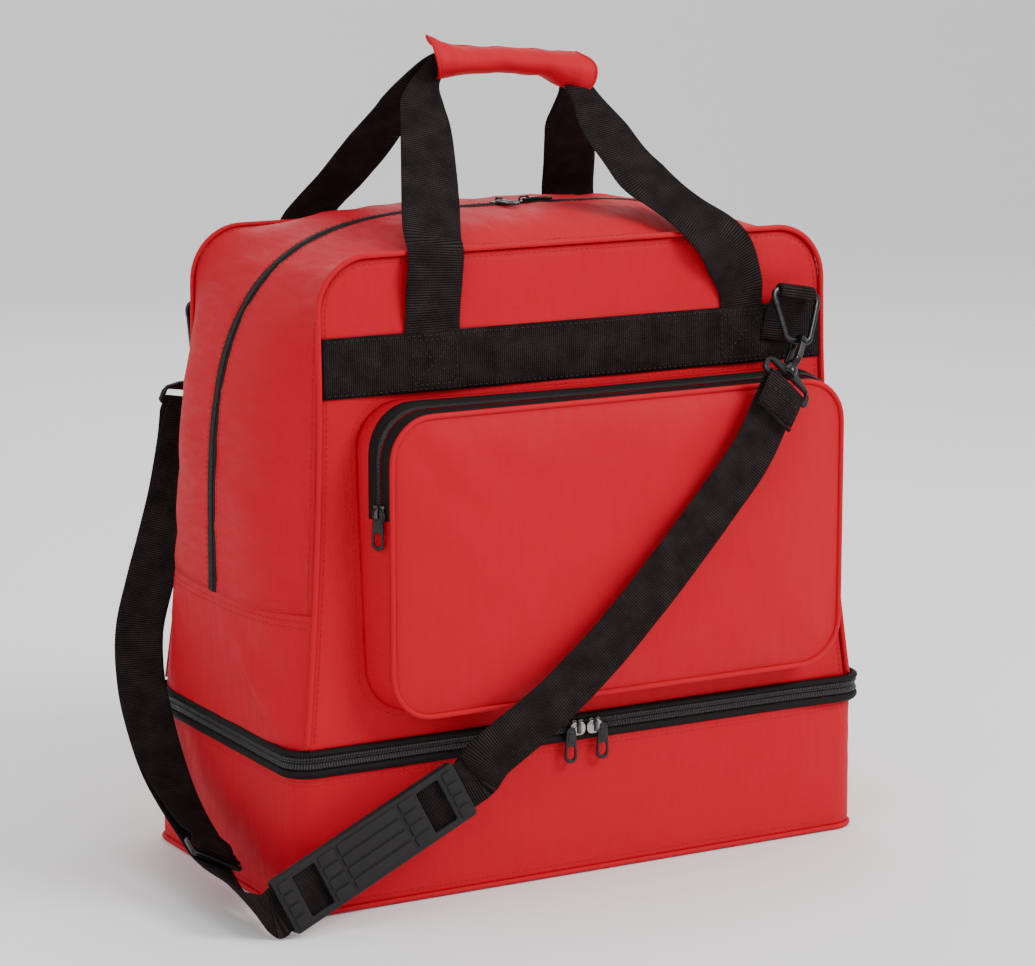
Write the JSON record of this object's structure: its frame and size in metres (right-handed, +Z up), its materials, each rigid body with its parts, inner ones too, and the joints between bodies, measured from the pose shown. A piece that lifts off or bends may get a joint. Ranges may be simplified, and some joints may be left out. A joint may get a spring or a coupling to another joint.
{
  "type": "sports equipment bag",
  "caption": "Tall red fabric sports holdall with a rigid zipped boot box below, a puffed front pocket, joined webbing handles and a padded shoulder strap on snap hooks.",
  "frame": {"origin": "centre of the underside, on the floor plane", "axes": "+Z up, +X to the right seen from the front, +Y from the front pocket to the back"},
  "size_m": [0.5646, 0.3505, 0.62],
  "materials": {
    "red_fabric": "matt woven polyester",
    "black_webbing": "ribbed webbing",
    "zip_tape": "coil zip tape",
    "black_plastic": "moulded",
    "slider_metal": "plated",
    "pad_rubber": "moulded",
    "stiffener": "board"
  },
  "bodies": {
    "boot_box": {"base_panel": "red_fabric", "base_board": "stiffener", "base_piping": "red_fabric", "boot_front_panel": "red_fabric", "boot_back_panel": "red_fabric", "boot_side_panel_left": "red_fabric", "boot_side_panel_right": "red_fabric", "boot_zip_tape_lower": "zip_tape"},
    "upper_bag": {"divider_board": "stiffener", "boot_zip_tape_upper": "zip_tape", "side_panel_left": "red_fabric", "side_panel_right": "red_fabric", "back_panel": "red_fabric", "gusset_back": "red_fabric", "main_zip_tape_back": "zip_tape", "back_piping": "red_fabric", "back_band": "black_webbing", "back_handle_end_left": "black_webbing", "back_handle_end_right": "black_webbing", "back_ring_tab": "black_webbing", "back_ring": "black_plastic", "back_hook_loop": "black_plastic", "strap_rear": "black_webbing", "tri_glide": "black_plastic"},
    "front_shell": {"front_panel": "red_fabric", "gusset_front": "red_fabric", "main_zip_tape_front": "zip_tape", "front_piping": "red_fabric", "front_band": "black_webbing", "front_handle_end_left": "black_webbing", "front_handle_end_right": "black_webbing", "front_ring_tab": "black_webbing", "front_ring": "black_plastic", "front_hook_loop": "black_plastic", "strap_front": "black_webbing", "pocket_gusset": "red_fabric", "pocket_zip_tape": "zip_tape", "pocket_face": "red_fabric", "pocket_piping": "red_fabric"},
    "pocket_flap": {"pocket_flap": "red_fabric", "pocket_flap_piping": "red_fabric"},
    "front_handle": {"front_handle": "black_webbing"},
    "back_handle": {"back_handle": "black_webbing"},
    "grip_wrap": {"grip_wrap": "red_fabric"},
    "grip_flap": {"grip_flap": "red_fabric"},
    "shoulder_pad": {"shoulder_pad": "pad_rubber"},
    "boot_slider_left": {"boot_slider_left": "slider_metal"},
    "boot_slider_right": {"boot_slider_right": "slider_metal"},
    "main_slider_left": {"main_slider_left": "slider_metal"},
    "main_slider_right": {"main_slider_right": "slider_metal"},
    "pocket_slider": {"pocket_slider": "slider_metal"},
    "boot_puller_left": {"boot_puller_left": "black_plastic"},
    "boot_puller_right": {"boot_puller_right": "black_plastic"},
    "main_puller_left": {"main_puller_left": "black_plastic"},
    "main_puller_right": {"main_puller_right": "black_plastic"},
    "pocket_puller": {"pocket_puller": "black_plastic"},
    "front_hook": {"front_hook": "black_plastic"},
    "front_hook_gate": {"front_hook_gate": "black_plastic"},
    "back_hook": {"back_hook": "black_plastic"},
    "back_hook_gate": {"back_hook_gate": "black_plastic"}
  },
  "joints": [
    {"name": "boot_opening", "type": "hinge", "parent": "boot_box", "child": "upper_bag", "pos_m": [0, 0.1301, 0.118], "axis": [-1, 0, 0], "range_deg": [0, 70]},
    {"name": "main_opening", "type": "hinge", "parent": "upper_bag", "child": "front_shell", "pos_m": [0, -0.1265, 0.125], "axis": [1, 0, 0], "range_deg": [0, 6], "deforming": ["strap_front"]},
    {"name": "front_handle_tilt", "type": "hinge", "parent": "front_shell", "child": "front_handle", "pos_m": [0, -0.1141, 0.4925], "axis": [1, 0, 0], "range_deg": [-16.5, 0.5]},
    {"name": "back_handle_tilt", "type": "hinge", "parent": "upper_bag", "child": "back_handle", "pos_m": [0, 0.1141, 0.4925], "axis": [1, 0, 0], "range_deg": [-0.5, 10.5]},
    {"name": "grip_tilt", "type": "hinge", "parent": "back_handle", "child": "grip_wrap", "pos_m": [0, 0, 0.6125], "axis": [1, 0, 0], "range_deg": [-10.5, 0.5]},
    {"name": "grip_flap_opening", "type": "hinge", "parent": "grip_wrap", "child": "grip_flap", "pos_m": [0, 0.0235, 0.617], "axis": [1, 0, 0], "range_deg": [0, 120]},
    {"name": "pocket_opening", "type": "hinge", "parent": "front_shell", "child": "pocket_flap", "pos_m": [-0.188, -0.16, 0.292], "axis": [0.9613, 0, 0.2756], "range_deg": [0, 35]},
    {"name": "boot_slider_left_travel", "type": "slide", "parent": "boot_box", "child": "boot_slider_left", "axis": [-1, 0, 0], "range_m": [0, 0.21]},
    {"name": "boot_slider_right_travel", "type": "slide", "parent": "boot_box", "child": "boot_slider_right", "axis": [1, 0, 0], "range_m": [0, 0.21]},
    {"name": "main_slider_left_travel", "type": "slide", "parent": "front_shell", "child": "main_slider_left", "axis": [-1, 0, 0], "range_m": [0, 0.09]},
    {"name": "main_slider_right_travel", "type": "slide", "parent": "front_shell", "child": "main_slider_right", "axis": [1, 0, 0], "range_m": [0, 0.09]},
    {"name": "pocket_slider_travel", "type": "slide", "parent": "front_shell", "child": "pocket_slider", "axis": [0, 0, 1], "range_m": [0, 0.033]},
    {"name": "boot_puller_left_swing", "type": "hinge", "parent": "boot_slider_left", "child": "boot_puller_left", "pos_m": [-0.016, -0.1342, 0.118], "axis": [-1, 0, 0], "range_deg": [0, 150]},
    {"name": "boot_puller_right_swing", "type": "hinge", "parent": "boot_slider_right", "child": "boot_puller_right", "pos_m": [0.004, -0.1342, 0.118], "axis": [-1, 0, 0], "range_deg": [0, 150]},
    {"name": "main_puller_left_swing", "type": "hinge", "parent": "main_slider_left", "child": "main_puller_left", "pos_m": [-0.008, 0, 0.5108], "axis": [-1, 0, 0], "range_deg": [0, 170]},
    {"name": "main_puller_right_swing", "type": "hinge", "parent": "main_slider_right", "child": "main_puller_right", "pos_m": [0.014, 0, 0.5108], "axis": [0, -1, 0], "range_deg": [0, 150]},
    {"name": "pocket_puller_swing", "type": "hinge", "parent": "pocket_slider", "child": "pocket_puller", "pos_m": [-0.1923, -0.1391, 0.303], "axis": [0, 1, 0], "range_deg": [0, 150]},
    {"name": "front_hook_swivel", "type": "hinge", "parent": "front_shell", "child": "front_hook", "pos_m": [0.1575, -0.16, 0.3825], "axis": [0.6068, 0.5309, 0.5916], "range_deg": [-8, 8]},
    {"name": "front_gate_opening", "type": "hinge", "parent": "front_hook", "child": "front_hook_gate", "pos_m": [0.16838, -0.15939, 0.39508], "axis": [-0.7521, 0.1425, 0.6435], "range_deg": [0, 16], "stiffness_Nm_per_rad": 0.02, "springref_deg": -11.46},
    {"name": "back_hook_swivel", "type": "hinge", "parent": "upper_bag", "child": "back_hook", "pos_m": [-0.2045, 0.148, 0.3605], "axis": [0.202, -0.3198, 0.9257], "range_deg": [-8, 8]},
    {"name": "back_gate_opening", "type": "hinge", "parent": "back_hook", "child": "back_hook_gate", "pos_m": [-0.20368, 0.15217, 0.37376], "axis": [0.9645, 0.2289, -0.1314], "range_deg": [0, 16], "stiffness_Nm_per_rad": 0.02, "springref_deg": -11.46},
    {"name": "pad_travel", "type": "slide", "parent": "upper_bag", "child": "shoulder_pad", "axis": [0.9085, 0.0247, 0.4172], "range_m": [0, 0.02]}
  ],
  "couplings": [
    {"joint": "front_handle_tilt", "follows": "main_opening", "ratio": -2.64},
    {"joint": "back_handle_tilt", "follows": "main_opening", "ratio": 1.67},
    {"joint": "grip_tilt", "follows": "main_opening", "ratio": -1.67}
  ]
}
